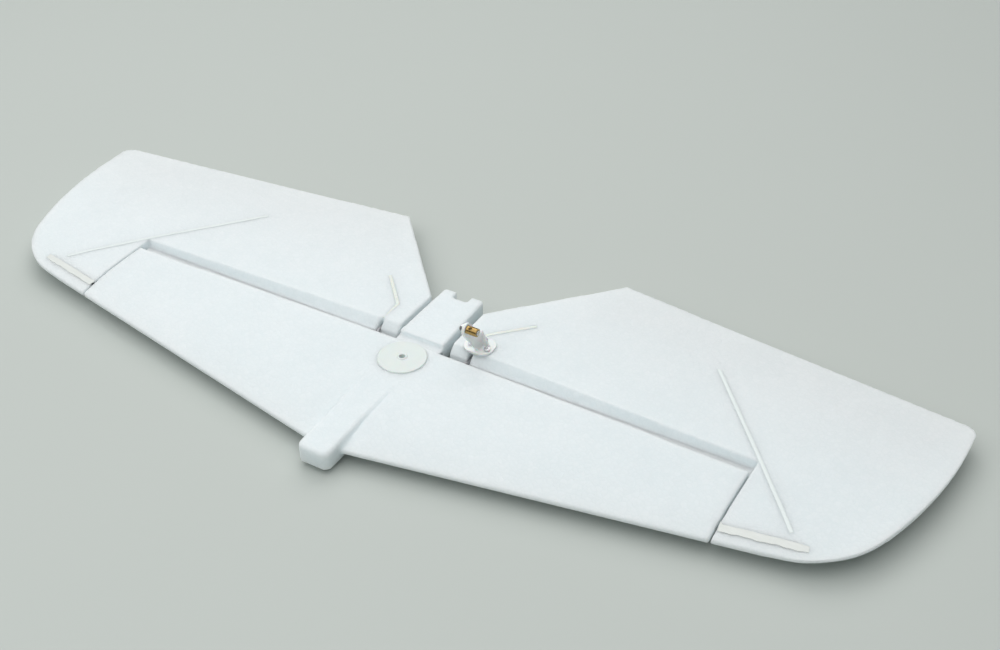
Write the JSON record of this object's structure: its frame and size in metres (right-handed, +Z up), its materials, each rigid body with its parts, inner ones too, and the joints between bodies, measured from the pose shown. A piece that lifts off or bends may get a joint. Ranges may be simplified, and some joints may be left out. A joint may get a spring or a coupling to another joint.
{
  "type": "model aeroplane tail unit",
  "caption": "White foam tailplane of a model aeroplane with a pair of wire-joined elevators, a front tongue, a tail screw plate and a control horn with pushrod connector.",
  "frame": {"origin": "on the axis of the tail screw, at the underside of the centre saddle", "axes": "+X towards the right-hand tip, +Y aft towards the trailing edge, +Z up, out of the top surface"},
  "size_m": [0.5154, 0.1857, 0.034],
  "materials": {
    "foam": "white bead foam, moulded skin with visible beads",
    "plate_plastic": "translucent pale plastic, satin",
    "tube_plastic": "pale plastic tube",
    "wire_steel": "drawn spring steel wire",
    "glue": "hardened cream glue",
    "stiffener": "glass fibre strip, milky",
    "weight_steel": "dark steel rod",
    "nylon": "moulded white nylon",
    "screw_steel": "bright zinc plated steel",
    "brass": "turned brass"
  },
  "bodies": {
    "tailplane": {"stabiliser": "foam", "bolt_plate": "plate_plastic", "joiner_tube": "tube_plastic", "hinge_web_left": "foam", "hinge_web_right": "foam"},
    "elevator": {"elevator_left": "foam", "elevator_right": "foam", "joiner_wire": "wire_steel", "joiner_glue_left": "glue", "joiner_glue_right": "glue", "stiffener_left": "stiffener", "stiffener_right": "stiffener", "balance_weight_left": "weight_steel", "balance_weight_right": "weight_steel", "balance_glue_left": "glue", "balance_glue_right": "glue", "control_horn": "nylon", "horn_backplate": "nylon", "horn_screws": "screw_steel"},
    "connector": {"connector_barrel": "brass", "connector_washer": "screw_steel", "connector_nut": "screw_steel"},
    "set_screw": {"set_screw": "screw_steel"}
  },
  "joints": [
    {"name": "elevator_hinge", "type": "hinge", "parent": "tailplane", "child": "elevator", "pos_m": [0, 0.015, 0.0057], "axis": [1, 0, 0], "range_deg": [-25, 25], "stiffness_Nm_per_rad": 0.08},
    {"name": "connector_swivel", "type": "hinge", "parent": "elevator", "child": "connector", "pos_m": [0.031, 0.013, 0.031], "axis": [1, 0, 0], "continuous": true},
    {"name": "set_screw_travel", "type": "slide", "parent": "connector", "child": "set_screw", "axis": [1, 0, 0], "range_m": [-0.0009, 0.0015]}
  ]
}
